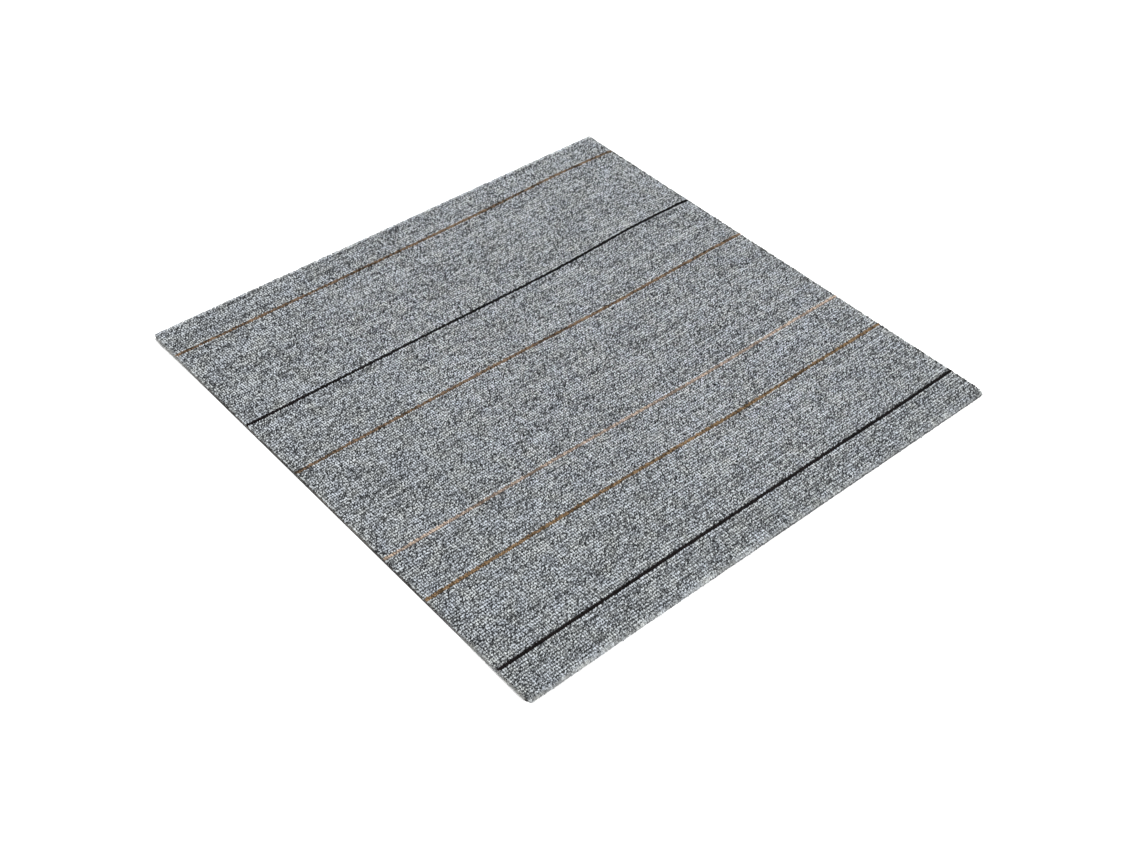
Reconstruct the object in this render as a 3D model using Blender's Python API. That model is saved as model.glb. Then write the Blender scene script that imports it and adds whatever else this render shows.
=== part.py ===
"""Square loop-pile carpet tile, lying on a level floor with the pile up.

Frame: metres, origin at the centre of the underside, +Z up out of the pile,
+X along the tufted rows, +Y across the rows.
"""
import math

import bmesh
import bpy
from mathutils import Vector

# Driving dimensions, in metres.
TILE_SIDE = 0.500              # cut size of the tile, both ways
TILE_THICKNESS = 0.0055        # underside to the crest of the pile
BACKING_THICKNESS = 0.0018     # dark heavy layer that the tile lies on
CLOTH_THICKNESS = 0.0005       # primary backing cloth that the yarn is tufted through
LAMINATE_GAP = 0.0003          # clearance between neighbouring solids
ROW_COUNT = 197                # tufted rows across the tile, one tenth of an inch apart
ROW_PITCH = TILE_SIDE / ROW_COUNT
GROOVE_DEPTH = 0.0011          # crest of a row down to the valley beside it
CREST_WIDTH = 0.5              # flat part of a row's top, as a share of the row pitch
SIDE_DROP = 0.0015             # how far the pile rolls down at the two sides along the rows
END_ROLL = 0.0020              # length over which the pile rolls down at the cut row ends
END_DROP = 0.0010              # how far it rolls down there
CORNER_RADIUS = 0.0030         # rounding of the four corners, seen from above
CORNER_REACH = 0.020           # depth from a side over which the rows draw in at a corner
CORNER_STEPS = 3               # facets of a corner
STRAY_PLACES = (-1.0, -0.25, 0.35, 0.75, 1.0)  # places along a row, as shares of half the side

HALF = TILE_SIDE / 2
CLOTH_BASE = BACKING_THICKNESS + LAMINATE_GAP
PILE_BASE = CLOTH_BASE + CLOTH_THICKNESS + LAMINATE_GAP

# Accent rows, counted from the +Y side: name, row number, yarn, and how far the row strays
# from its straight line at each of the places in STRAY_PLACES, in metres.
ACCENT_ROWS = [
    ("brown_row_1", 13, "brown_yarn", (-0.0010, -0.0008, 0.0002, 0.0029, 0.0011)),
    ("black_row_1", 57, "black_yarn", (-0.0002, -0.0005, -0.0003, 0.0041, 0.0033)),
    ("brown_row_2", 85, "brown_yarn", (0.0004, 0.0018, 0.0007, 0.0026, 0.0030)),
    ("tan_row", 132, "tan_yarn", (0.0025, 0.0024, 0.0002, 0.0014, 0.0015)),
    ("ochre_row", 152, "ochre_yarn", (0.0021, 0.0023, 0.0003, 0.0011, 0.0011)),
    ("black_row_2", 184, "black_yarn", (0.0009, 0.0012, 0.0012, 0.0010, 0.0017)),
]

# Surface values of each material: linear colour and roughness.
MATERIALS = {
    "grey_yarn": ((0.270, 0.285, 0.300), 0.90),
    "brown_yarn": ((0.120, 0.075, 0.050), 0.90),
    "black_yarn": ((0.012, 0.010, 0.011), 0.90),
    "tan_yarn": ((0.430, 0.330, 0.270), 0.90),
    "ochre_yarn": ((0.170, 0.105, 0.055), 0.90),
    "primary_cloth": ((0.500, 0.470, 0.400), 0.95),
    "backing": ((0.020, 0.020, 0.021), 0.75),
}


def row_line(row_edge):
    """Straight line of a row boundary: row_edge rows in from the +Y side."""
    return HALF - row_edge * ROW_PITCH


def between_places(values, x):
    """Value at x on straight stretches between the values at the stray places."""
    stretches = zip(STRAY_PLACES, STRAY_PLACES[1:], values, values[1:])
    for start, end, value_at_start, value_at_end in stretches:
        if x <= end * HALF:
            share = (x - start * HALF) / ((end - start) * HALF)
            return value_at_start + (value_at_end - value_at_start) * share
    return values[-1]


def stray(x, y):
    """Sideways stray of the tufting at (x, y): that of the accent rows, none at the cut sides."""
    guides = [(HALF, 0.0)]
    guides += [(row_line(row + 0.5), between_places(values, x)) for _, row, _, values in ACCENT_ROWS]
    guides.append((-HALF, 0.0))
    for (y_hi, stray_hi), (y_lo, stray_lo) in zip(guides, guides[1:]):
        if y >= y_lo:
            share = (y - y_lo) / (y_hi - y_lo)
            return stray_lo + (stray_hi - stray_lo) * share
    return 0.0


def corner_inset(x):
    """How far the rounded corner cuts in from the side at x."""
    past = abs(x) - (HALF - CORNER_RADIUS)
    if past <= 0:
        return 0.0
    return CORNER_RADIUS - math.sqrt(max(CORNER_RADIUS ** 2 - past ** 2, 0.0))


def lie(x, y):
    """Where a straight line of the tile at y really runs at x: stray, then the corner's draw-in."""
    moved = y + stray(x, y)
    depth = HALF - abs(moved)
    share = min(max(1 - depth / CORNER_REACH, 0.0), 1.0)
    return moved - math.copysign(corner_inset(x) * share, moved)


def loft(name, slot, stations, section_at):
    """Closed solid through the (y, z) sections at each station, which run anticlockwise."""
    mesh = bmesh.new()
    rings = []
    for x in stations:
        rings.append([mesh.verts.new(Vector((x, y, z))) for y, z in section_at(x)])
    mesh.faces.new(list(reversed(rings[0])))
    mesh.faces.new(rings[-1])
    for near, far in zip(rings, rings[1:]):
        for i in range(len(near)):
            j = (i + 1) % len(near)
            mesh.faces.new((near[i], near[j], far[j], far[i]))
    bmesh.ops.recalc_face_normals(mesh, faces=mesh.faces)
    bmesh.ops.triangulate(mesh, faces=mesh.faces)
    data = bpy.data.meshes.new(name)
    mesh.to_mesh(data)
    mesh.free()
    data.materials.append(bpy.data.materials[slot])
    solid = bpy.data.objects.new(name, data)
    bpy.context.scene.collection.objects.link(solid)
    return solid


def mirrored(values):
    """The values and their negatives, in rising order, each once."""
    return sorted({round(v, 9) for v in values} | {round(-v, 9) for v in values})


def slab(name, slot, base, thickness):
    """Flat layer of the tile with rounded corners."""
    bends = [HALF - CORNER_RADIUS + CORNER_RADIUS * math.sin(math.pi / 2 * i / CORNER_STEPS)
             for i in range(CORNER_STEPS + 1)]

    def section_at(x):
        half = HALF - corner_inset(x)
        return [(-half, base), (half, base), (half, base + thickness), (-half, base + thickness)]

    return loft(name, slot, mirrored(bends), section_at)


def pile(name, slot, first, last):
    """Tufted rows first to last as one ribbed solid, with a valley between each two rows."""
    bends = {HALF * place for place in STRAY_PLACES[1:-1]}
    stations = sorted(set(mirrored([HALF - END_ROLL, HALF])) | bends)
    at_plus_side, at_minus_side = first == 0, last == ROW_COUNT - 1
    shoulder = (1 - CREST_WIDTH) / 2

    def section_at(x):
        end_drop = END_DROP if abs(x) > HALF - END_ROLL / 2 else 0.0
        crest = TILE_THICKNESS - end_drop
        valley = TILE_THICKNESS - GROOVE_DEPTH - end_drop / 2
        rolled = TILE_THICKNESS - SIDE_DROP - end_drop / 2
        y_plus = lie(x, row_line(first)) - (0.0 if at_plus_side else LAMINATE_GAP / 2)
        y_minus = lie(x, row_line(last + 1)) + (0.0 if at_minus_side else LAMINATE_GAP / 2)
        points = [(y_minus, PILE_BASE), (y_plus, PILE_BASE)]
        points.append((y_plus, rolled if at_plus_side else valley))
        for row in range(first, last + 1):
            points.append((lie(x, row_line(row + shoulder)), crest))
            points.append((lie(x, row_line(row + 1 - shoulder)), crest))
            if row < last:
                points.append((lie(x, row_line(row + 1)), valley))
        points.append((y_minus, rolled if at_minus_side else valley))
        return points

    return loft(name, slot, stations, section_at)


# Scene: empty it, then make the materials and the solids.
for old in list(bpy.data.objects):
    bpy.data.objects.remove(old, do_unlink=True)

for slot, (colour, roughness) in MATERIALS.items():
    material = bpy.data.materials.new(slot)
    material.use_nodes = True
    shader = material.node_tree.nodes["Principled BSDF"]
    shader.inputs["Base Color"].default_value = (*colour, 1.0)
    shader.inputs["Roughness"].default_value = roughness
    material.diffuse_color = (*colour, 1.0)

slab("backing", "backing", 0.0, BACKING_THICKNESS)
slab("primary_cloth", "primary_cloth", CLOTH_BASE, CLOTH_THICKNESS)

# Ground pile in bands, parted by the accent rows.
first_row = 0
for band, (accent, row, yarn, _) in enumerate(ACCENT_ROWS, start=1):
    pile(f"pile_band_{band}", "grey_yarn", first_row, row - 1)
    pile(accent, yarn, row, row)
    first_row = row + 1
pile(f"pile_band_{len(ACCENT_ROWS) + 1}", "grey_yarn", first_row, ROW_COUNT - 1)
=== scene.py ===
# %% [markdown]
# # A loop-pile carpet tile
# The object is a square carpet tile, half a metre each way and only five and a half millimetres
# thick. Grey heather yarn is tufted in 197 rows of small loops through a thin pale cloth, six of the
# rows are of another colour, and the cloth lies on a heavy black backing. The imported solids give
# every size; this script dresses them with real loops of yarn, cut ends, loose fibres and finishes.

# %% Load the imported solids
import math

import bpy
import numpy as np
from mathutils import Matrix, Vector


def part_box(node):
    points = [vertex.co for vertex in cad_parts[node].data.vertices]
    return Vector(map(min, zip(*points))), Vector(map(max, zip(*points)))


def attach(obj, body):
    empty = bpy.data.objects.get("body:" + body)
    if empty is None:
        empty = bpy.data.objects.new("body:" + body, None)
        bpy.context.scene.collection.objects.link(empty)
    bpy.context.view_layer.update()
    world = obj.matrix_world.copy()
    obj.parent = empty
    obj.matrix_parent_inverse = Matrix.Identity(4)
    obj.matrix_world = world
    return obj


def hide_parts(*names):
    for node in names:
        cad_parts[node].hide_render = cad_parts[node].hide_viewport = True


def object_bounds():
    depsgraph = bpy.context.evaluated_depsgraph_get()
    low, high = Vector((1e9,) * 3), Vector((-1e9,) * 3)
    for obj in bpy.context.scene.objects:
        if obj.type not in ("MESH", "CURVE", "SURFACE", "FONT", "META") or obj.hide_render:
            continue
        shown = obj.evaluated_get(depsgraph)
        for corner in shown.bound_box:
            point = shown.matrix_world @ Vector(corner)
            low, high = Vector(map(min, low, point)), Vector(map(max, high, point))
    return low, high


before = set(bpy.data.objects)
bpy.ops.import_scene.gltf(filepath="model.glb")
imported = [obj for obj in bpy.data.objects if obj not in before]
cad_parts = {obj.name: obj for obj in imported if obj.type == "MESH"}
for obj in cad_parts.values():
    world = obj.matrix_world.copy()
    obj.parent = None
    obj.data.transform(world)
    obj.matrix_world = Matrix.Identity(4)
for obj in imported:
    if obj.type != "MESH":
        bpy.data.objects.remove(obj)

cad_low, cad_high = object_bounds()
HALF = cad_high.x
TOP = cad_high.z
CLOTH_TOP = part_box("primary_cloth")[1].z
print("tile", [round(1000 * v, 2) for v in cad_high - cad_low], "mm; cloth top",
      round(1000 * CLOTH_TOP, 2))

# %% [markdown]
# ## The camera
# The tile is square and flat, so its four edges in the photograph fix where the camera stood: about
# a metre away, looking down at 43 degrees onto one corner, and turned a little about its own axis.
# A camera could be aimed with a constraint, but three axes written as columns of a matrix are exact
# and show what a camera's rotation is: right, up, and backwards.

# %% Camera
CAMERA_PLACE = Vector((-0.6639, -0.7335, 0.8615))
CAMERA_TARGET = Vector((-0.0462, -0.0603, 0.0))
CAMERA_ROLL = math.radians(2.218)
CAMERA_LENS = 48.455

backwards = (CAMERA_PLACE - CAMERA_TARGET).normalized()
level = Vector((0, 0, 1)).cross(backwards).normalized()
steep = backwards.cross(level)
right = level * math.cos(CAMERA_ROLL) + steep * math.sin(CAMERA_ROLL)
up = steep * math.cos(CAMERA_ROLL) - level * math.sin(CAMERA_ROLL)

camera = bpy.data.objects.new("camera", bpy.data.cameras.new("camera"))
camera.data.lens = CAMERA_LENS
turned = Matrix((right, up, backwards)).transposed().to_4x4()
camera.matrix_world = Matrix.Translation(CAMERA_PLACE) @ turned
bpy.context.scene.collection.objects.link(camera)
bpy.context.scene.camera = camera
print("camera", [round(v, 3) for v in CAMERA_PLACE], "lens", CAMERA_LENS)

# %% [markdown]
# ## Where the rows run
# A tufting machine sews all rows at once, one tenth of an inch apart, but the cloth stretches and the
# rows stray by a millimetre or four. Each row could be drawn by hand; here one function bends the
# whole tile, through the strays of the six accent rows and none at the cut sides, as in the solids.

# %% The lie of the rows
ROWS = 197
PITCH = 2 * HALF / ROWS
CORNER_RADIUS, CORNER_REACH = 0.003, 0.020
STRAY_PLACES = HALF * np.array((-1.0, -0.25, 0.35, 0.75, 1.0))
ACCENTS = {
    "brown_row_1": (13, (-0.0010, -0.0008, 0.0002, 0.0029, 0.0011)),
    "black_row_1": (57, (-0.0002, -0.0005, -0.0003, 0.0041, 0.0033)),
    "brown_row_2": (85, (0.0004, 0.0018, 0.0007, 0.0026, 0.0030)),
    "tan_row": (132, (0.0025, 0.0024, 0.0002, 0.0014, 0.0015)),
    "ochre_row": (152, (0.0021, 0.0023, 0.0003, 0.0011, 0.0011)),
    "black_row_2": (184, (0.0009, 0.0012, 0.0012, 0.0010, 0.0017)),
}


def row_line(row_edge):
    """Straight line that lies row_edge rows in from the +Y side."""
    return HALF - row_edge * PITCH


def through_places(values, x):
    """Smooth curve at x through the strays at the stray places."""
    values = np.array(values)
    slopes = np.gradient(values, STRAY_PLACES)
    k = np.clip(np.searchsorted(STRAY_PLACES, x) - 1, 0, len(values) - 2)
    span = STRAY_PLACES[k + 1] - STRAY_PLACES[k]
    t = (x - STRAY_PLACES[k]) / span
    ends = values[k] * (1 + 2 * t) * (1 - t) ** 2 + values[k + 1] * t ** 2 * (3 - 2 * t)
    return ends + span * t * (1 - t) * (slopes[k] * (1 - t) - slopes[k + 1] * t)


def lie(x, y):
    """Where a straight line of the tile at y really runs at x, for arrays of points."""
    strays = [np.zeros_like(x)] + [through_places(values, x) for _, values in ACCENTS.values()]
    strays.append(np.zeros_like(x))
    guides = [HALF] + [row_line(row + 0.5) for row, _ in ACCENTS.values()] + [-HALF]
    stray = np.zeros_like(x)
    for i in range(len(guides) - 1):
        inside = (y <= guides[i]) & (y >= guides[i + 1])
        share = (y - guides[i + 1]) / (guides[i] - guides[i + 1])
        stray = np.where(inside, strays[i + 1] + (strays[i] - strays[i + 1]) * share, stray)
    moved = y + stray
    past = np.clip(np.abs(x) - (HALF - CORNER_RADIUS), 0, CORNER_RADIUS)
    inset = CORNER_RADIUS - np.sqrt(CORNER_RADIUS ** 2 - past ** 2)
    share = np.clip(1 - (HALF - np.abs(moved)) / CORNER_REACH, 0, 1)
    return moved - np.sign(moved) * inset * share


print("row pitch", round(1000 * PITCH, 3), "mm; first accent row at",
      round(1000 * float(lie(np.array(0.0), np.array(row_line(13.5)))), 1), "mm")

# %% [markdown]
# ## The loops of yarn
# Each stitch leaves one loop standing in its row. From above a loop shows as two plump plies lying
# side by side, slanted by the twist of the yarn. The six accent yarns are thicker and sway a little
# from side to side. There are about 47,000 loops. Instances of one loop would all look alike, so every
# loop and ply gets its own place, size, height and slant, drawn once for the whole tile as arrays with
# one row of numbers for each row of loops.

# %% Random numbers that drift along a row
STITCH = 0.00208
STITCHES = round(2 * HALF / STITCH)
SEED = 7
chance = np.random.default_rng(SEED)
shape = (ROWS, STITCHES)


def drifting(reach):
    """Random values for every loop, each like its neighbour in the row over reach loops."""
    keep = math.exp(-1 / reach)
    values = chance.standard_normal(shape)
    for k in range(1, STITCHES):
        values[:, k] = keep * values[:, k - 1] + math.sqrt(1 - keep ** 2) * values[:, k]
    return values


print("stitches in a row", STITCHES, "stitch", round(1000 * 2 * HALF / STITCHES, 3), "mm")

# %% Sway and bulk of the accent yarns
ACCENT_BULKS = {13: 2.15, 57: 1.85, 85: 2.00, 132: 1.50, 152: 1.95, 184: 1.62}
ACCENT_WAVE, ACCENT_SWAY, ACCENT_SWELL = 0.0061, 0.00030, 0.18
WAVE_WANDER = 0.9
row_number = np.arange(ROWS)[:, None]
stitch_x = np.broadcast_to((np.arange(STITCHES) + 0.5) * (2 * HALF / STITCHES) - HALF, shape)
accent_rows = [row for row, _ in ACCENTS.values()]
wave = np.sin(2 * math.pi * stitch_x / ACCENT_WAVE + WAVE_WANDER * drifting(6.0))
sway = np.zeros(shape)
sway[accent_rows] = wave[accent_rows]
loop_bulk = np.ones(shape)
for row, bulk in ACCENT_BULKS.items():
    loop_bulk[row] = bulk + ACCENT_SWELL * sway[row]
print("bulk of the accent yarns", ACCENT_BULKS)

# %% A loop at every stitch
ALONG_SCATTER, ALONG_DRIFT, ACROSS_DRIFT = 0.00020, 0.00012, 0.00014
END_MARGIN = 0.0014
TOP_GAP, TOP_SCATTER, TOP_DRIFT = 0.00010, 0.00018, 0.00010
ACCENT_LIFT, END_SINK = 0.00018, 0.00045
TWIST, TWIST_SCATTER = 28, 10
loop_x = np.clip(stitch_x + ALONG_SCATTER * chance.standard_normal(shape) + ALONG_DRIFT * drifting(8.0),
                 -HALF + END_MARGIN, HALF - END_MARGIN)
loop_y = lie(loop_x, row_line(row_number + 0.5) + ACROSS_DRIFT * drifting(1.2) + ACCENT_SWAY * sway)
loop_top = TOP - TOP_GAP - TOP_SCATTER * np.abs(chance.standard_normal(shape))
loop_top = loop_top - TOP_DRIFT * np.abs(drifting(6.0))
loop_top[accent_rows] = np.minimum(loop_top[accent_rows] + ACCENT_LIFT, TOP)
loop_top[:, (0, -1)] -= END_SINK
loop_turn = np.radians(TWIST + TWIST_SCATTER * chance.standard_normal(shape))
print("loops", loop_x.size, "tops", round(1000 * float(loop_top.min()), 2), "to",
      round(1000 * float(loop_top.max()), 2), "mm")

# %% [markdown]
# ## The heather of the yarn
# Grey heather is twisted from plies spun of light, middle and near-black filaments, so neighbouring
# plies differ like salt and pepper, and so do the two ends of a ply. A dark or light stretch
# sometimes runs on over a few loops, and some rows are darker than others as a whole. A noise texture
# alone would blot over many rows at once. Instead every ply carries its lightness as a number at each
# of its points, which the finish reads.

# %% Lightness of the two plies at every loop
PLY_MIDDLE, PLY_CONTRAST, END_CONTRAST = 0.570, 0.44, 0.37
LOOP_SHARE, RUN_SHARE, ROW_SHARE, ALTERNATE_ROWS = 0.33, 0.28, 0.16, 0.5
UNLIKE_SHARE, PLY_SHARE = 0.62, 0.56
ACCENT_RUN_SHARE, ACCENT_CALM = 0.9, 0.6
TONE_RANGE = (-0.1, 1.1)
row_tone = chance.standard_normal((ROWS, 1)) + ALTERNATE_ROWS * (-1.0) ** row_number
common = LOOP_SHARE * chance.standard_normal(shape) + RUN_SHARE * drifting(5.0) + ROW_SHARE * row_tone
common[accent_rows] = ACCENT_RUN_SHARE * drifting(7.0)[accent_rows]
unlike = UNLIKE_SHARE * chance.standard_normal((*shape, 1)) * np.array((1.0, -1.0))
contrast = common[:, :, None] + unlike + PLY_SHARE * chance.standard_normal((*shape, 2))
contrast[accent_rows] *= ACCENT_CALM
ply_tone = np.clip(PLY_MIDDLE + PLY_CONTRAST * contrast, *TONE_RANGE)
ply_ends = END_CONTRAST * chance.standard_normal((*shape, 2, 2))
print("mean ply lightness", round(float(ply_tone.mean()), 3), "spread", round(float(ply_tone.std()), 3))

# %% [markdown]
# ## A flat map for each piece
# A finish can be baked into a picture only if each face has its own place in it. Blender's automatic
# unwrapping would break 90,000 small domes into crumbs. Here a strip of pile is cut into a few
# lengths laid one above the other, so it fills a square, with the feet and edges in a band on top.

# %% Places on the map
MAP_MARGIN = 0.0015
TRIM_SHARE, TRIM_PARTS = 0.10, 4
TRIM_EDGE = 0.05


def map_place(first, last, centre, along, across):
    """Place on the map of points of the loops at centre, in a piece of rows first to last."""
    width = (last + 1 - first) * PITCH + 2 * MAP_MARGIN
    lengths = max(1, round(math.sqrt(2 * HALF * (1 - TRIM_SHARE) / width)))
    stretch = 2 * HALF / lengths
    number = np.clip((centre + HALF) // stretch, 0, lengths - 1)
    u = (along + HALF - number * stretch + MAP_MARGIN) / (stretch + 2 * MAP_MARGIN)
    v = (number + (across - first * PITCH + MAP_MARGIN) / width) * (1 - TRIM_SHARE) / lengths
    return np.stack([u, v], -1).reshape(-1, 2)


def trim_place(part, along, share):
    """Place in the band for feet and edges: one of its parts, 0 to 1 along it and 0 to 1 across it."""
    v = 1 - TRIM_SHARE * (part + TRIM_EDGE + (1 - 2 * TRIM_EDGE) * share) / TRIM_PARTS
    return np.stack(np.broadcast_arrays(along, v), -1).reshape(-1, 2)


# %% [markdown]
# ## Joining many small shapes into one mesh
# Thousands of separate objects would be slow to draw and to export. A template of one shape is moved
# to all its places with array arithmetic, and the copies go into one mesh, with the lightness as an
# attribute on its points and the map as its UV layer.

# %% Mesh from arrays
def joined_mesh(name, blocks):
    """One mesh object from blocks of (points, triangles, lightness, map places), by point."""
    points = np.concatenate([block[0] for block in blocks])
    starts = np.cumsum([0] + [len(block[0]) for block in blocks[:-1]])
    triangles = np.concatenate([block[1] + start for block, start in zip(blocks, starts)])
    mesh = bpy.data.meshes.new(name)
    mesh.vertices.add(len(points))
    mesh.vertices.foreach_set("co", points.astype(np.float32).ravel())
    mesh.loops.add(3 * len(triangles))
    mesh.loops.foreach_set("vertex_index", triangles.astype(np.int32).ravel())
    mesh.polygons.add(len(triangles))
    mesh.polygons.foreach_set("loop_start", np.arange(0, 3 * len(triangles), 3, dtype=np.int32))
    mesh.polygons.foreach_set("use_smooth", np.ones(len(triangles), bool))
    mesh.update(calc_edges=True)
    tones = np.concatenate([block[2] for block in blocks]).astype(np.float32)
    mesh.attributes.new("lightness", "FLOAT", "POINT").data.foreach_set("value", tones)
    places = np.concatenate([block[3] for block in blocks])[triangles.ravel()].astype(np.float32)
    mesh.uv_layers.new(name="OFBake").uv.foreach_set("vector", places.ravel())
    piece = bpy.data.objects.new(name, mesh)
    bpy.context.scene.collection.objects.link(piece)
    return piece


def copies(triangles, points_each, count):
    """Triangles of count copies of a template that has points_each points."""
    step = np.arange(count)[:, None, None] * points_each
    return (np.asarray(triangles)[None] + step).reshape(-1, 3)


def tube_triangles(ring_count, sides, closed_top):
    """Triangles of a tube of rings, with a point on top of the last ring if closed_top."""
    found = []
    for ring in range(ring_count - 1):
        for side in range(sides):
            a, b = ring * sides + side, ring * sides + (side + 1) % sides
            found += [(a, b, b + sides), (a, b + sides, a + sides)]
    if closed_top:
        last, tip = (ring_count - 1) * sides, ring_count * sides
        found += [(last + side, last + (side + 1) % sides, tip) for side in range(sides)]
    return found


# %% [markdown]
# ## The ply of a loop
# Inside the tile only the crowns of the loops show, so a ply is an open grain of rice: six points
# round its foot and a short ridge along its top, eight triangles that shade as a round form. Two of
# them side by side make a loop. Finer grains would cost millions of triangles and look no better
# from where anyone stands.

# %% Shape of a ply, and how the plies differ
SIDES = 6
PLY_DEPTH, PLY_RIDGE = 0.00100, 0.42
PLY_HALF_LENGTH, PLY_HALF_WIDTH, PLY_SPACING = 0.00088, 0.00053, 0.00046
# PAINTED_FOOT_SHADE: how much darker the foot of every ply is painted, as shade.
PAINTED_FOOT_SHADE = 0.05
DROP_SCATTER, SIZE_SCATTER, SWING_SCATTER = 0.00018, 0.11, 8
POINT_TONE_RANGE = (-0.3, 1.2)
foot_angles = np.arange(SIDES) * 2 * math.pi / SIDES
grain = np.array([(math.cos(a), math.sin(a), -1.0) for a in foot_angles]
                 + [(PLY_RIDGE, 0, 0), (-PLY_RIDGE, 0, 0)])
grain_triangles = [(0, 1, 6), (1, 2, 7), (1, 7, 6), (2, 3, 7), (3, 4, 7), (4, 5, 6), (4, 6, 7), (5, 0, 6)]
grain_ends = [0, 0, 1, 1, 1, 0, 0, 1]
ply_drop = np.abs(DROP_SCATTER * chance.standard_normal((*shape, 2)))
ply_size = 1 + SIZE_SCATTER * chance.standard_normal((*shape, 2, 2))
ply_swing = np.radians(SWING_SCATTER * chance.standard_normal((*shape, 2)))
print("plies", ply_tone.size, "with", len(grain_triangles), "triangles each")


# %% Plies for a stretch of rows
def plies(rows, stitches, first, last):
    """Block of the plies at the given rows and stitches, for a piece of rows first to last."""
    blocks = []
    at = np.ix_(rows, stitches)
    for side in (0, 1):
        x, y, top, bulk, straight = (a[at].ravel()[:, None] for a in
                                     (loop_x, loop_y, loop_top, loop_bulk, stitch_x))
        turn = loop_turn[at].ravel()[:, None]
        offset = (side - 0.5) * 2 * PLY_SPACING * bulk
        swung = turn + ply_swing[at][..., side].ravel()[:, None]
        length = PLY_HALF_LENGTH * ply_size[at][..., side, 0].ravel()[:, None] * grain[:, 0]
        width = PLY_HALF_WIDTH * bulk * ply_size[at][..., side, 1].ravel()[:, None] * grain[:, 1]
        out_x = length * np.cos(swung) - width * np.sin(swung) - offset * np.sin(turn)
        out_y = length * np.sin(swung) + width * np.cos(swung) + offset * np.cos(turn)
        z = top - ply_drop[at][..., side].ravel()[:, None] + PLY_DEPTH * grain[:, 2]
        points = np.stack([x + out_x, y + out_y, z], -1).reshape(-1, 3)
        across = (np.array(rows) + 0.5).repeat(len(stitches))[:, None] * PITCH - out_y
        ends = ply_ends[at][..., side, :].reshape(-1, 2)[:, grain_ends]
        # The foot points of every ply are a little darker: painted shade where the plies dip between each
        # other.
        tones = ply_tone[at][..., side].ravel()[:, None] + ends + PAINTED_FOOT_SHADE * grain[:, 2]
        tones = np.clip(tones, *POINT_TONE_RANGE).ravel()
        blocks.append((points, copies(grain_triangles, len(grain), x.size), tones,
                       map_place(first, last, straight, straight + out_x, across)))
    return blocks


# %% [markdown]
# ## Whole loops along the two sides
# Where a row is the last one, its loops are seen from the side. They are modelled whole: a round
# yarn that rises from the cloth, turns over and comes down again, swept along a short arch. Nothing
# holds them from outside, so they lean out over the cut edge. Upright arches would look too neat:
# on the side towards the camera the loops have fallen over and hide the backing. Paths over the edge,
# as places and heights at four shares of an arch's rise, make both kinds with one function. Their
# smooth tubes are painted darker than the plies, as painted shade for the shadows among real fibres.
# The fallen loops get more painted shade where they leave the pile, and towards +X their tips are
# painted dark too, as painted shade along the pile's underside.

# %% Paths of the arches
ARCH_ALONG = np.array((-0.50, -0.74, -0.56, 0.0, 0.56, 0.74, 0.50)) * 0.001
ARCH_RISE = np.array((0.0, 0.33, 0.74, 1.0, 0.74, 0.33, 0.0))
YARN_RADIUS = 0.00056
FALLEN_OUT, FALLEN_HEIGHT = (0.0003, 0.0014, 0.0029, 0.0037), (0.0020, 0.0039, 0.0032, 0.0018)
FALLEN_PAINTED_SHADE = (-0.44, -0.40, -0.04, -0.12)
STANDING_OUT, STANDING_HEIGHT = (0.0003, 0.0012, 0.0015, 0.0012), (0.0020, 0.0033, 0.0044, 0.0049)
STANDING_PAINTED_SHADE = (-0.05, -0.05, -0.05, -0.05)
ARCH_SHARES = (0.0, 0.33, 0.74, 1.0)
RIM_FROM, RIM_RUN, RIM_PAINTED_SHADE, RIM_SHARPNESS = -0.12, 0.14, 0.75, 8
LEAN_SCATTER, REACH_SCATTER, TIP_SCATTER, RISE_SCATTER = 0.07, 0.10, 0.15, 0.0001
FOOT_SWELL, TIP_SWELL, SWELL_SCATTER = 0.85, 0.25, 0.08
OWN_TONE_SHARE, ARCH_TONE_SCATTER = 0.5, 0.13
FLOOR_CLEAR = 0.0001
round_angles = np.linspace(0, 2 * math.pi, SIDES, endpoint=False)


def painted_rim_shade_share(x):
    """How much painted shade there is at x on the fallen loops' tips and the roll's lower rim, from 0 to 1.
    """
    return np.clip((x - RIM_FROM) / RIM_RUN, 0, 1)


print("fallen loops reach", 1000 * FALLEN_OUT[-1], "mm out; standing ones", 1000 * STANDING_OUT[-1], "mm")


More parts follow.
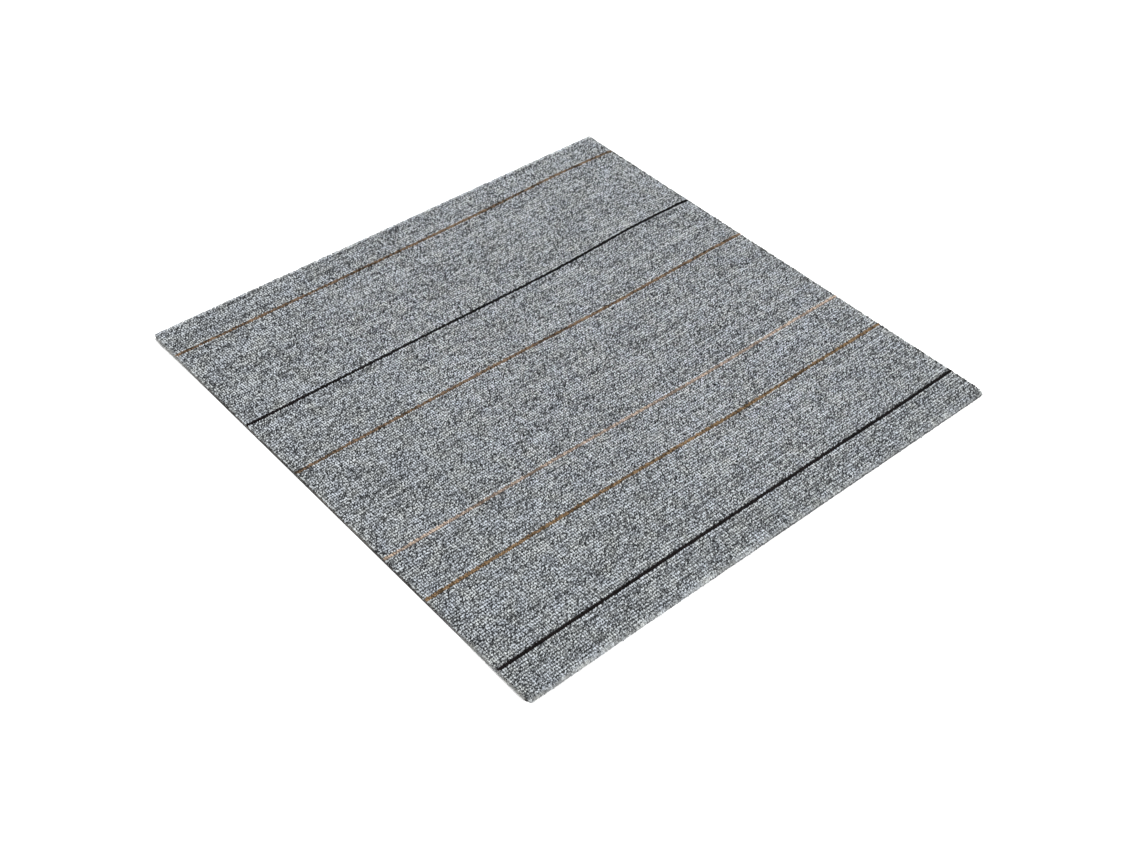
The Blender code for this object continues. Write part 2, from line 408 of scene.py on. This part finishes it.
# %% Arches for the outermost rows
def arches(row, outward, out_path, height_path, painted_shade_path):
    """Block of whole loops in one row; outward is the side, +1 or -1, that they face."""
    one_each = (STITCHES, 1)
    lean = 1 + LEAN_SCATTER * chance.standard_normal(one_each)
    reach = 1 + REACH_SCATTER * chance.standard_normal(one_each)
    path_x = ARCH_ALONG * reach + TIP_SCATTER * ARCH_RISE * PITCH * chance.standard_normal(one_each)
    path_y = np.interp(ARCH_RISE, ARCH_SHARES, out_path) * lean
    path_z = np.interp(ARCH_RISE, ARCH_SHARES, height_path) + RISE_SCATTER * chance.standard_normal(one_each)
    path = np.stack([path_x, outward * path_y, path_z], -1)
    step = np.gradient(path, axis=1)
    step /= np.linalg.norm(step, axis=-1, keepdims=True)
    inner = np.cross(step, (0, 0, 1.0))
    inner /= np.linalg.norm(inner, axis=-1, keepdims=True) + 1e-9
    upper = np.cross(inner, step)
    swell = YARN_RADIUS * (FOOT_SWELL + TIP_SWELL * ARCH_RISE)[:, None]
    swell = swell * (1 + SWELL_SCATTER * chance.standard_normal((STITCHES, 1, 1)))
    rings = (path[:, :, None] + (np.cos(round_angles) * swell)[..., None] * inner[:, :, None]
             + (np.sin(round_angles) * swell)[..., None] * upper[:, :, None])
    rings[..., 0] += loop_x[row][:, None, None]
    rings[..., 1] += loop_y[row][:, None, None]
    rings[..., 2] = np.clip(rings[..., 2], FLOOR_CLEAR, TOP)
    count = len(ARCH_RISE)
    own = PLY_MIDDLE + OWN_TONE_SHARE * (ply_tone[row].mean(1)[:, None] - PLY_MIDDLE)
    # Painted shade along each arch, strongest where the fallen loops leave the pile.
    own = own + np.interp(ARCH_RISE, ARCH_SHARES, painted_shade_path)
    own = own + ARCH_TONE_SCATTER * chance.standard_normal((STITCHES, count))
    # Painted shade: the tips of the fallen loops turn dark towards +X.
    if outward < 0:
        own -= RIM_PAINTED_SHADE * ARCH_RISE ** RIM_SHARPNESS * painted_rim_shade_share(loop_x[row][:, None])
    along = (np.arange(STITCHES)[:, None, None] + np.arange(count)[:, None] / count) / STITCHES
    place = trim_place(1, along, np.abs(2 * np.arange(SIDES) / SIDES - 1))
    return (rings.reshape(-1, 3), copies(tube_triangles(count, SIDES, False), count * SIDES, STITCHES),
            np.clip(own, 0, 1).ravel().repeat(SIDES), place)


# %% [markdown]
# ## The crushed side
# Between and under the fallen loops the pile is pressed into one soft roll that hangs over the cut
# edge nearly to the floor. Filling it with more loops would cost many triangles for something that is
# hardly seen, so it is a lofted strip, a little uneven, in yarn tones darker than its loops: painted
# shade for the shadows inside a crushed mass of loops. Towards +X its lower rim is painted dark as
# well, as painted shade along the pile's underside.

# %% Roll under the fallen loops
ROLL_OUT = (-0.0022, -0.0006, 0.0009, 0.0019, 0.0023, 0.0021)
ROLL_HEIGHT = (0.0036, 0.0040, 0.0034, 0.0022, 0.0013, 0.0007)
ROLL_END_GAP = 0.0007
ROLL_MAP_END = 0.3
ROLL_SCATTER, ROLL_HEIGHT_SCATTER = 0.05, 0.00006
ROLL_PAINTED_SHADE_TONE, ROLL_TONE_SCATTER, ROLL_RIM_POINTS = 0.28, 0.18, 2


def side_roll(outward):
    """Block of the roll along one long side of the tile; outward is that side, +1 or -1."""
    count = 2 * STITCHES + 1
    x = np.linspace(-HALF + ROLL_END_GAP, HALF - ROLL_END_GAP, count)
    edge = lie(x, np.full(count, outward * HALF))
    uneven = 1 + ROLL_SCATTER * chance.standard_normal((count, 1))
    y = edge[:, None] + outward * np.array(ROLL_OUT) * uneven
    z = np.array(ROLL_HEIGHT) + ROLL_HEIGHT_SCATTER * chance.standard_normal(y.shape)
    points = np.stack([np.broadcast_to(x[:, None], y.shape), y, z], -1)
    high = len(ROLL_OUT)
    # The roll's tones lie below its loops': painted shade for the shadows inside crushed pile.
    tones = ROLL_PAINTED_SHADE_TONE + ROLL_TONE_SCATTER * chance.standard_normal((count, high))
    # Painted shade: the lowest points of the roll turn dark towards +X.
    tones[:, -ROLL_RIM_POINTS:] -= RIM_PAINTED_SHADE * painted_rim_shade_share(x[:, None])
    corner = (np.arange(count - 1)[:, None] * high + np.arange(high - 1)).ravel()
    triangles = np.concatenate([np.stack([corner, corner + high, corner + 1], -1),
                                np.stack([corner + 1, corner + high, corner + high + 1], -1)])
    place = trim_place(0, np.linspace(0, 1, count)[:, None], np.linspace(0, ROLL_MAP_END, high))
    return points.reshape(-1, 3), triangles, tones.ravel(), place


# %% [markdown]
# ## Cut yarn at the two ends of the rows
# The tile is cut out of a wide roll, and the knife goes through the loops at both ends of each row.
# What stays is a short tuft of yarn that spreads a little. Flared stubs for each row end, of unequal
# length, some upright and some fallen outward over the edge, give that ragged look. Each stub turns
# dark towards its base, partly for the precoat soaked into the yarn there and partly as painted shade
# deep between the tufts.

# %% Tufts for the row ends
TUFT_RINGS = ((0.45, 0.0), (0.80, 0.50), (1.20, 0.88))
TUFT_STUBS = ((-0.00072, 0.00030), (0.0, 0.00058), (0.00072, 0.00030))
TUFT_RADIUS, TUFT_BREADTH = 0.00052, 1.1
TUFT_TONE, TUFT_PRECOAT_AND_SHADE = -0.14, 1.20
TUFT_INSETS = {-1: 0.00080, 1: 0.00035}
STANDING_RISE, RISE_LOST_BY_FALL, RISE_RANGE = 0.84, 300, (0.35, 0.98)
TUFT_RISE_SCATTER, TUFT_THICK_SCATTER, TUFT_FALL_SCATTER = 0.10, 0.12, 0.5
TUFT_RAGGED, TUFT_BASE_SCATTER = 0.16, 0.00012
PLANTED = 0.0001
TUFT_MAP_START, TUFT_MAP_WIDTH = 0.4, 0.3


def tufts(rows, stitch, outward, part):
    """Blocks of cut stubs where the given rows end; outward is +1 at the +X end and -1 at the other."""
    blocks = []
    ring = np.array([(r * math.cos(a), r * math.sin(a), h) for r, h in TUFT_RINGS for a in round_angles]
                    + [(0, 0, 1.0)])
    count = len(rows)
    triangles = copies(tube_triangles(len(TUFT_RINGS), SIDES, True), len(ring), count)
    for number, (aside, fall) in enumerate(TUFT_STUBS):
        rise = STANDING_RISE - RISE_LOST_BY_FALL * fall + TUFT_RISE_SCATTER * chance.standard_normal(count)
        rise = (TOP - CLOTH_TOP) * np.clip(rise, *RISE_RANGE)
        thick = TUFT_RADIUS * (1 + TUFT_THICK_SCATTER * chance.standard_normal(count))
        lean = outward * fall * np.abs(1 + TUFT_FALL_SCATTER * chance.standard_normal(count))
        ragged = 1 + TUFT_RAGGED * chance.standard_normal((count, len(ring)))
        base_x = outward * (HALF - TUFT_INSETS[outward]) + TUFT_BASE_SCATTER * chance.standard_normal(count)
        base_y = lie(base_x, row_line(np.array(rows) + 0.5)) + aside
        x = base_x[:, None] + ring[:, 0] * ragged * thick[:, None] + ring[:, 2] * lean[:, None]
        y = base_y[:, None] + ring[:, 1] * ragged * thick[:, None] * TUFT_BREADTH
        z = CLOTH_TOP - PLANTED + ring[:, 2] * rise[:, None]
        points = np.stack([x, y, z], -1).reshape(-1, 3)
        # Darker towards the base of each stub: partly precoat in the yarn, partly painted shade between the
        # tufts.
        tones = ply_tone[rows, stitch, number % 2][:, None] + TUFT_TONE - TUFT_PRECOAT_AND_SHADE * (1 - ring[:, 2])
        along = (number + TUFT_MAP_START + TUFT_MAP_WIDTH * ring[:, 0]) / len(TUFT_STUBS)
        along = (np.arange(count)[:, None] + along) / count
        blocks.append((points, triangles, tones.ravel(), trim_place(part, along, ring[:, 2])))
    return blocks


# %% [markdown]
# ## The feet of the loops
# Between the plies the eye should end in shaded yarn, not in daylight or on the pale cloth. A ribbed
# sheet just below the plies, with a skirt down to the cloth along the tile's edges, closes the pile.
# It is coloured almost black all over: painted shade for the shadow deep between the loops.

# %% Ribbed sheet under the plies
FEET_INSET = 0.0011
FEET_DROPS = (0.00185, 0.00150)
FEET_COLUMNS = 25
FEET_PAINTED_SHADE_LIGHTNESS = 0.02
FEET_MAP_START = 0.35


def feet(first, last):
    """Block of the sheet under rows first to last, lower between the rows than under them."""
    xs = np.linspace(-HALF + FEET_INSET, HALF - FEET_INSET, FEET_COLUMNS)
    halves = np.arange(2 * first, 2 * (last + 1) + 1)
    lines = [np.clip(row_line(h / 2), -HALF + FEET_INSET, HALF - FEET_INSET) for h in halves]
    y = np.stack([lie(xs, np.full_like(xs, line)) for line in lines])
    z = np.stack([np.full_like(xs, TOP - FEET_DROPS[h % 2]) for h in halves])
    grid = np.stack([np.broadcast_to(xs, y.shape), y, z], -1)
    flat, down = (1, 1, 0), (0, 0, CLOTH_TOP - PLANTED)
    grid = np.concatenate([grid[:, :1] * flat + down, grid, grid[:, -1:] * flat + down], 1)
    if first == 0:
        grid = np.concatenate([grid[:1] * flat + down, grid])
    if last == ROWS - 1:
        grid = np.concatenate([grid, grid[-1:] * flat + down])
    high, wide = grid.shape[:2]
    corner = np.arange((high - 1) * wide).reshape(high - 1, wide)[:, :-1].ravel()
    triangles = np.concatenate([np.stack([corner, corner + wide, corner + 1], -1),
                                np.stack([corner + 1, corner + wide, corner + wide + 1], -1)])
    place = trim_place(0, np.linspace(0, 1, wide), np.linspace(FEET_MAP_START, 1, high)[:, None])
    # The whole sheet and its skirt get one near-black lightness: painted shade.
    return grid.reshape(-1, 3), triangles, np.full(high * wide, FEET_PAINTED_SHADE_LIGHTNESS), place


# %% [markdown]
# ## Pieces of pile
# One piece stands for each band of the solids. A piece stays under 200,000 triangles, so the widest
# band is made as two. A row of another colour is a piece of its own with its own yarn.

# %% Build the pile
def pile_piece(name, node, first, last):
    """Loops, ends and feet of rows first to last, in place of the solid of that name."""
    rows = list(range(first, last + 1))
    blocks = plies(rows, list(range(STITCHES)), first, last) + [feet(first, last)]
    blocks += tufts(rows, 0, -1, part=2) + tufts(rows, STITCHES - 1, 1, part=3)
    if first == 0:
        blocks.append(arches(0, 1, STANDING_OUT, STANDING_HEIGHT, STANDING_PAINTED_SHADE))
    if last == ROWS - 1:
        blocks.append(arches(ROWS - 1, -1, FALLEN_OUT, FALLEN_HEIGHT, FALLEN_PAINTED_SHADE))
        blocks.append(side_roll(-1))
    piece = joined_mesh(name, blocks)
    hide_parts(node)
    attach(piece, "root")
    return piece


MOST_ROWS = 45
ground_pieces, accent_pieces = [], {}
first = 0
stops = [(row, accent) for accent, (row, _) in ACCENTS.items()] + [(ROWS, None)]
for band, (stop, accent) in enumerate(stops, start=1):
    count = stop - first
    cuts = [first, stop] if count <= MOST_ROWS else [first, first + count // 2, stop]
    for part, (start, end) in enumerate(zip(cuts, cuts[1:])):
        label = f"pile_band_{band}_loops" + ("" if len(cuts) == 2 else "_" + "ab"[part])
        ground_pieces.append(pile_piece(label, f"pile_band_{band}", start, end - 1))
    if accent:
        accent_pieces[accent] = pile_piece(accent + "_loops", accent, stop, stop)
    first = stop + 1
sizes = {piece.name: len(piece.data.polygons) for piece in ground_pieces + list(accent_pieces.values())}
print("triangles", sizes, "in all", sum(sizes.values()))

# %% [markdown]
# ## Loose fibres round the edge
# The knife leaves a soft fuzz: fibres that stand out of the cut edge by a millimetre or two, bend
# down over the cloth and the backing, and catch the light. The two corners at the -X end are the most
# frayed, so a good half of the fibres are longer ones, gathered there. Hair particles would have to be
# turned into meshes for export, so each fibre is a thin bent cone, placed by the same array arithmetic.

# %% Where the fibres start
FIBRES = 6000
FRAY_SHARE, FRAY_REACH, FRAY_LENGTH = 0.62, 0.036, 1.8
FRAYED_SIDES, FRAYED_ENDS = np.array((2, 2, 2, 2, 2, 3)), np.array((1, 1, 1, -1, -1, -1))
FUZZ_RUN = HALF - 0.0028
FALLEN_EDGE, CUT_EDGE = HALF + 0.0014, HALF - 0.0005
HIGHEST_ROOT = TOP - 0.0012


def fibre_roots():
    """Root of every fibre, its direction out of the tile, and whether it is a frayed one."""
    side = chance.integers(0, 4, FIBRES)
    run = chance.uniform(-1, 1, FIBRES) * FUZZ_RUN
    fray_run = FUZZ_RUN - FRAY_REACH * np.abs(chance.standard_normal(FIBRES))
    frayed = chance.random(FIBRES) < FRAY_SHARE
    corner = chance.integers(0, len(FRAYED_SIDES), FIBRES)
    side = np.where(frayed, FRAYED_SIDES[corner], side)
    run = np.where(frayed, fray_run * FRAYED_ENDS[corner], run)
    out_x = np.choose(side, (1, 0, -1, 0))
    out_y = np.choose(side, (0, 1, 0, -1))
    edge = np.where(side == 3, FALLEN_EDGE, CUT_EDGE)
    root_z = chance.uniform(CLOTH_TOP, HIGHEST_ROOT, FIBRES)
    base = np.stack([edge * out_x - run * out_y, edge * out_y + run * out_x, root_z], -1)
    return base, out_x, out_y, frayed


# %% Fuzz along the four cut edges
FIBRE_SIDES = 3
FIBRE_RINGS = ((0.0, 1.0), (0.5, 0.85))
FIBRE_RADIUS = 0.00008
SHORTEST_FIBRE, FIBRE_LENGTH_RANGE = 0.0007, 0.0009
SLEW_SCATTER, PITCH_SCATTER, SAG_RANGE = 0.5, 0.4, (0.4, 1.3)
FIBRE_TONE, FIBRE_TONE_SCATTER, FIBRE_TONE_RANGE = 0.52, 0.3, (0.0, 1.1)
FIBRE_FLOOR_CLEAR = 0.0002
CELL_EDGE, MAP_TURN, MAP_TIP = 0.1, 7, 0.45


def edge_fuzz(name):
    """One mesh of bent fibres that start in the pile's edge and hang out over it."""
    base, out_x, out_y, frayed = fibre_roots()
    length = SHORTEST_FIBRE + FIBRE_LENGTH_RANGE * chance.random(FIBRES)
    length = length * np.where(frayed, FRAY_LENGTH, 1.0)
    slew = chance.normal(0, SLEW_SCATTER, FIBRES)
    pitch = chance.normal(0, PITCH_SCATTER, FIBRES)
    forward = np.stack([out_x - slew * out_y, out_y + slew * out_x, pitch], -1)
    forward /= np.linalg.norm(forward, axis=1, keepdims=True)
    sag = np.array((0, 0, -1.0)) * chance.uniform(*SAG_RANGE, FIBRES)[:, None]
    aside = np.stack([-out_y, out_x, np.zeros(FIBRES)], -1).astype(float)
    above = np.cross(aside, forward)
    angles = np.arange(FIBRE_SIDES) * 2 * math.pi / FIBRE_SIDES
    points, share = [], []
    for along, radius in FIBRE_RINGS:
        centre = base + length[:, None] * (forward * along + sag * along ** 2)
        for angle in angles:
            around = aside * math.cos(angle) + above * math.sin(angle)
            points.append(centre + FIBRE_RADIUS * radius * around)
            share.append((angle / MAP_TURN, along))
    points.append(base + length[:, None] * (forward + sag))
    share.append((MAP_TIP, 1.0))
    points = np.stack(points, 1)
    points[:, :, 2] = np.maximum(points[:, :, 2], FIBRE_FLOOR_CLEAR)
    tones = np.clip(chance.normal(FIBRE_TONE, FIBRE_TONE_SCATTER, FIBRES), *FIBRE_TONE_RANGE)
    tones = tones.repeat(points.shape[1])
    cells = math.ceil(math.sqrt(FIBRES))
    number = np.arange(FIBRES)[:, None, None]
    place = np.concatenate([number % cells, number // cells], 2) + CELL_EDGE
    place = (place + (1 - 2 * CELL_EDGE) * np.array(share)) / cells
    triangles = copies(tube_triangles(len(FIBRE_RINGS), FIBRE_SIDES, True), points.shape[1], FIBRES)
    piece = joined_mesh(name, [(points.reshape(-1, 3), triangles, tones, place.reshape(-1, 2))])
    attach(piece, "root")
    return piece


ground_pieces.append(edge_fuzz("edge_fuzz"))
print("fibres", FIBRES, "triangles", len(ground_pieces[-1].data.polygons))

# %% [markdown]
# ## Shader expressions
# A finish is mostly arithmetic on noise and coordinates, which is slow to read as a web of nodes.
# This small class wraps one output socket, so that `1 - mask` or `a * b + c` adds the Math nodes that
# it says. Any other node comes from its one method `node`, settings first and then sockets.

# %% Socket wrapper
class Wire:
    """An output socket in a material; arithmetic on it adds Math nodes."""

    def __init__(self, tree, socket=None):
        self.tree, self.socket = tree, socket

    def node(self, kind, settings=None, sockets=None, output=0):
        """A new node: its settings are set first, then its sockets, to a value or from a wire."""
        made = self.tree.nodes.new(kind)
        for key, value in (settings or {}).items():
            setattr(made, key, value)
        for key, value in (sockets or {}).items():
            if isinstance(value, Wire):
                self.tree.links.new(value.socket, made.inputs[key])
            else:
                made.inputs[key].default_value = value
        return Wire(self.tree, made.outputs[output])

    def math(self, operation, *terms):
        return self.node("ShaderNodeMath", {"operation": operation}, dict(enumerate(terms)))

    def __add__(self, other):
        return self.math("ADD", self, other)

    def __radd__(self, other):
        return self.math("ADD", other, self)

    def __sub__(self, other):
        return self.math("SUBTRACT", self, other)

    def __rsub__(self, other):
        return self.math("SUBTRACT", other, self)

    def __mul__(self, other):
        return self.math("MULTIPLY", self, other)

    def __rmul__(self, other):
        return self.math("MULTIPLY", other, self)

    def limited(self):
        """The same value, held between 0 and 1."""
        return self.math("MINIMUM", self.math("MAXIMUM", self, 0.0), 1.0)

    def mixed(self, dark, light):
        """Colour between dark and light, with this value as the share of light."""
        dark, light = (end if isinstance(end, Wire) else (*end, 1) for end in (dark, light))
        return self.node("ShaderNodeMix", {"data_type": "RGBA"}, {0: self, 6: dark, 7: light}, output=2)


# %% A blank finish and its links
def blank_finish(name, roughness, specular):
    """New material, its shader node and a wire to start from; the steady values are set here."""
    material = bpy.data.materials.new(name)
    material.use_nodes = True
    shader = material.node_tree.nodes["Principled BSDF"]
    shader.inputs["Roughness"].default_value = roughness
    shader.inputs["Specular IOR Level"].default_value = specular
    return material, shader, Wire(material.node_tree)


def feed(shader, colour, height, depth, strength):
    """Link a colour, and a height through a Bump node whose relief is depth metres deep."""
    tree = shader.id_data
    tree.links.new(colour.socket, shader.inputs["Base Color"])
    bump = height.node("ShaderNodeBump", {}, {"Strength": strength, "Distance": depth, "Height": height})
    tree.links.new(bump.socket, shader.inputs["Normal"])


# %% [markdown]
# ## The finish of a yarn
# Close up, a ply is a bundle of fine filaments that run slantwise over the loop, with flecks where
# darker or lighter fibres come to the surface. The lightness on the mesh sets a ply's own colour.
# Noise stretched along the slant makes the filaments, for the colour and for the relief, and a
# rounder noise makes the flecks. Fibres of several dye lots are blended, so the yarn drifts a little
# between a cool and a warm tint. A slow noise mixes the two, and the crushed and cut yarn at the
# tile's edges is on the warm side.

# %% Finish of one yarn
SLANT = math.radians(TWIST)
FILAMENT_SCALES = (420, 3600, 2400)
FILAMENT_DEPTH, FILAMENT_RELIEF = 0.00016, 0.8
FLECK_SCALE = 950.0
YARN_ROUGHNESS, YARN_SPECULAR, SHEEN_ROUGHNESS = 0.88, 0.18, 0.45
TINT = (0.030, 0.014, -0.040)
TINT_SCALE, TINT_CONTRAST, EDGE_TINT = 90.0, 2.0, 0.25
WARM_END, WARM_SIDE = 0.0050, 0.0015


def yarn_finish(name, dark, light, fleck_contrast, streak_contrast, sheen=0.12):
    """Yarn between a dark and a light colour, read from the lightness on the mesh."""
    material, shader, start = blank_finish(name, YARN_ROUGHNESS, YARN_SPECULAR)
    shader.inputs["Sheen Weight"].default_value = sheen
    shader.inputs["Sheen Roughness"].default_value = SHEEN_ROUGHNESS
    place = start.node("ShaderNodeTexCoord", output="Object")
    x, y, z = (place.node("ShaderNodeSeparateXYZ", {}, {0: place}, output=i) for i in range(3))
    along = x * math.cos(SLANT) + y * math.sin(SLANT)
    across = y * math.cos(SLANT) - x * math.sin(SLANT)
    lightness = start.node("ShaderNodeAttribute", {"attribute_name": "lightness"}, output="Fac")
    scaled = {i: axis * scale for i, (axis, scale) in enumerate(zip((along, across, z), FILAMENT_SCALES))}
    stretched = start.node("ShaderNodeCombineXYZ", {}, scaled)
    filament = start.node("ShaderNodeTexNoise", {}, {"Vector": stretched, "Scale": 1.0, "Detail": 2.0})
    fleck = start.node("ShaderNodeTexNoise", {}, {"Vector": place, "Scale": FLECK_SCALE, "Detail": 1.0})
    shade = lightness + (fleck - 0.5) * fleck_contrast + (filament - 0.5) * streak_contrast
    drift = start.node("ShaderNodeTexNoise", {}, {"Vector": place, "Scale": TINT_SCALE, "Detail": 3.0})
    past_end = (start.math("ABSOLUTE", x) - (HALF - WARM_END)) * (1 / WARM_END)
    past_side = (start.math("ABSOLUTE", y) - HALF) * (1 / WARM_SIDE)
    warmth = (drift - 0.5) * TINT_CONTRAST + 0.5 + (past_end.limited() + past_side.limited()) * EDGE_TINT
    cool, warm = (tuple(c * (1 + sign * t) for c, t in zip(light, TINT)) for sign in (-1, 1))
    colour = shade.limited().mixed(dark, warmth.limited().mixed(cool, warm))
    feed(shader, colour, filament, FILAMENT_DEPTH, FILAMENT_RELIEF)
    return material


# %% The yarns of this tile, put on the pile
yarns = {
    "grey_yarn": yarn_finish("grey_heather_yarn", (0.018, 0.020, 0.022), (0.825, 0.872, 0.910), 1.5, 2.2),
    "brown_yarn": yarn_finish("brown_yarn_finish", (0.038, 0.025, 0.015), (0.300, 0.200, 0.128), 0.5, 0.9),
    "black_yarn": yarn_finish("black_yarn_finish", (0.002, 0.0015, 0.0016), (0.014, 0.0095, 0.0098),
                              0.4, 0.9, sheen=0.01),
    "tan_yarn": yarn_finish("tan_yarn_finish", (0.150, 0.110, 0.085), (0.720, 0.580, 0.475), 0.5, 0.9),
    "ochre_yarn": yarn_finish("ochre_yarn_finish", (0.056, 0.035, 0.017), (0.335, 0.219, 0.121), 0.5, 0.9),
}
accent_slots = {"brown_row_1": "brown_yarn", "black_row_1": "black_yarn", "brown_row_2": "brown_yarn",
                "tan_row": "tan_yarn", "ochre_row": "ochre_yarn", "black_row_2": "black_yarn"}
fuzz_finish = yarn_finish("cut_fibre_finish", (0.028, 0.029, 0.030), (0.742, 0.756, 0.762), 1.6, 0.6)
for piece in ground_pieces:
    piece.data.materials.append(fuzz_finish if piece.name == "edge_fuzz" else yarns["grey_yarn"])
for accent, piece in accent_pieces.items():
    piece.data.materials.append(yarns[accent_slots[accent]])
print("yarn finishes", sorted(yarns))

# %% [markdown]
# ## Backing and cloth
# The black backing is a bitumen compound cast onto a fleece: dead matt, with a faint grain and tiny
# pits. The cloth between it and the pile is pale and stiff with precoat, but its finish is mostly
# dark: partly compound bled into it, partly painted shade for where it lies under the pile's edge.
# Both keep the solids' own shape, because their real form is a plain slab, and only get a finish.

# %% Backing and cloth finishes
GRAIN_SCALE, CLOUD_SCALE, PIT_SCALE = 900.0, 22.0, 420.0
GRAIN_SHARE, CLOUD_SHARE, BACKING_SHIFT = 0.5, 0.7, 0.1
THREAD_SCALES = (5200.0, 4700.0)
BLOTCH_SCALE, BLEED_SCALE = 260.0, 70.0
THREAD_SHARE, BLOTCH_SHARE, BLEED_SHARE, CLOTH_BLEED_AND_SHADE_SHIFT = 0.15, 1.0, 2.2, 1.46
BACKING_ROUGHNESS, BACKING_SPECULAR, BACKING_DEPTH, BACKING_RELIEF = 0.72, 0.3, 0.0002, 0.5
CLOTH_ROUGHNESS, CLOTH_SPECULAR, CLOTH_DEPTH, CLOTH_RELIEF = 0.9, 0.2, 0.00015, 0.6


def backing_finish():
    """Matt black compound with a faint grain and tiny pits."""
    material, shader, start = blank_finish("black_backing_finish", BACKING_ROUGHNESS, BACKING_SPECULAR)
    place = start.node("ShaderNodeTexCoord", output="Object")
    grain = start.node("ShaderNodeTexNoise", {}, {"Vector": place, "Scale": GRAIN_SCALE, "Detail": 3.0})
    cloudy = start.node("ShaderNodeTexNoise", {}, {"Vector": place, "Scale": CLOUD_SCALE, "Detail": 2.0})
    pits = start.node("ShaderNodeTexVoronoi", {}, {"Vector": place, "Scale": PIT_SCALE}, output="Distance")
    tone = (grain * GRAIN_SHARE + cloudy * CLOUD_SHARE - BACKING_SHIFT).limited()
    colour = tone.mixed((0.009, 0.009, 0.010), (0.040, 0.039, 0.038))
    feed(shader, colour, grain * GRAIN_SHARE + pits, BACKING_DEPTH, BACKING_RELIEF)
    return material


def cloth_finish():
    """Pale cloth with fine threads, blotched and darkened by compound bled into it and by painted shade."""
    material, shader, start = blank_finish("primary_cloth_finish", CLOTH_ROUGHNESS, CLOTH_SPECULAR)
    place = start.node("ShaderNodeTexCoord", output="Object")
    x, y = (place.node("ShaderNodeSeparateXYZ", {}, {0: place}, output=i) for i in range(2))
    threads = start.math("SINE", x * THREAD_SCALES[0]) * 0.5 + start.math("SINE", y * THREAD_SCALES[1]) * 0.5
    blotch = start.node("ShaderNodeTexNoise", {}, {"Vector": place, "Scale": BLOTCH_SCALE, "Detail": 3.0})
    bleed = start.node("ShaderNodeTexNoise", {}, {"Vector": place, "Scale": BLEED_SCALE, "Detail": 2.0})
    # The shift darkens most of the cloth: compound bled into it, and painted shade under the pile's edge.
    tone = threads * THREAD_SHARE + blotch * BLOTCH_SHARE + bleed * BLEED_SHARE - CLOTH_BLEED_AND_SHADE_SHIFT
    colour = tone.limited().mixed((0.030, 0.028, 0.025), (0.370, 0.350, 0.315))
    feed(shader, colour, threads + blotch, CLOTH_DEPTH, CLOTH_RELIEF)
    return material


for node, finish in (("backing", backing_finish()), ("primary_cloth", cloth_finish())):
    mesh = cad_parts[node].data
    mesh.materials.clear()
    mesh.materials.append(finish)
    print(node, "wears", finish.name)

# %% [markdown]
# ## Floor and light
# The photograph is on plain white with no shadow at all, as on a lit white table. A floor that
# glows a little under an evenly bright sky gives that, and it lights the cut edges from below. One
# large, weak lamp above the near side rounds the loops off.

# %% Floor
FLOOR_REACH, FLOOR_COLOUR = 6.0, (0.92, 0.92, 0.92, 1)
FLOOR_GLOW, FLOOR_ROUGHNESS, FLOOR_SPECULAR = 0.60, 0.9, 0.1
WHITE = (1, 1, 1, 1)
CORNERS = ((-1, -1), (1, -1), (1, 1), (-1, 1))
scene = bpy.context.scene
scene.view_settings.view_transform = "Standard"

floor_mesh = bpy.data.meshes.new("floor")
floor_mesh.from_pydata([(x * FLOOR_REACH, y * FLOOR_REACH, 0) for x, y in CORNERS], [], [(0, 1, 2, 3)])
floor = bpy.data.objects.new("floor", floor_mesh)
scene.collection.objects.link(floor)
floor_finish, floor_shader, _ = blank_finish("white_floor", FLOOR_ROUGHNESS, FLOOR_SPECULAR)
floor_shader.inputs["Base Color"].default_value = FLOOR_COLOUR
floor_shader.inputs["Emission Color"].default_value = WHITE
floor_shader.inputs["Emission Strength"].default_value = FLOOR_GLOW
floor_mesh.materials.append(floor_finish)
print("floor", 2 * FLOOR_REACH, "m wide, glow", FLOOR_GLOW)

# %% Sky and lamp
SKY = 0.80
LAMP_ENERGY, LAMP_SIZE, LAMP_PLACE = 9, 1.2, (0.0, -0.35, 1.2)
world = bpy.data.worlds.new("studio")
world.use_nodes = True
background = world.node_tree.nodes["Background"]
background.inputs["Color"].default_value = WHITE
background.inputs["Strength"].default_value = SKY
scene.world = world

lamp = bpy.data.objects.new("lamp", bpy.data.lights.new("lamp", "AREA"))
lamp.data.size = LAMP_SIZE
lamp.data.energy = LAMP_ENERGY
lamp.location = LAMP_PLACE
lamp.rotation_euler = (-lamp.location).to_track_quat("-Z", "Y").to_euler()
scene.collection.objects.link(lamp)
print("sky", SKY, "lamp", LAMP_ENERGY)
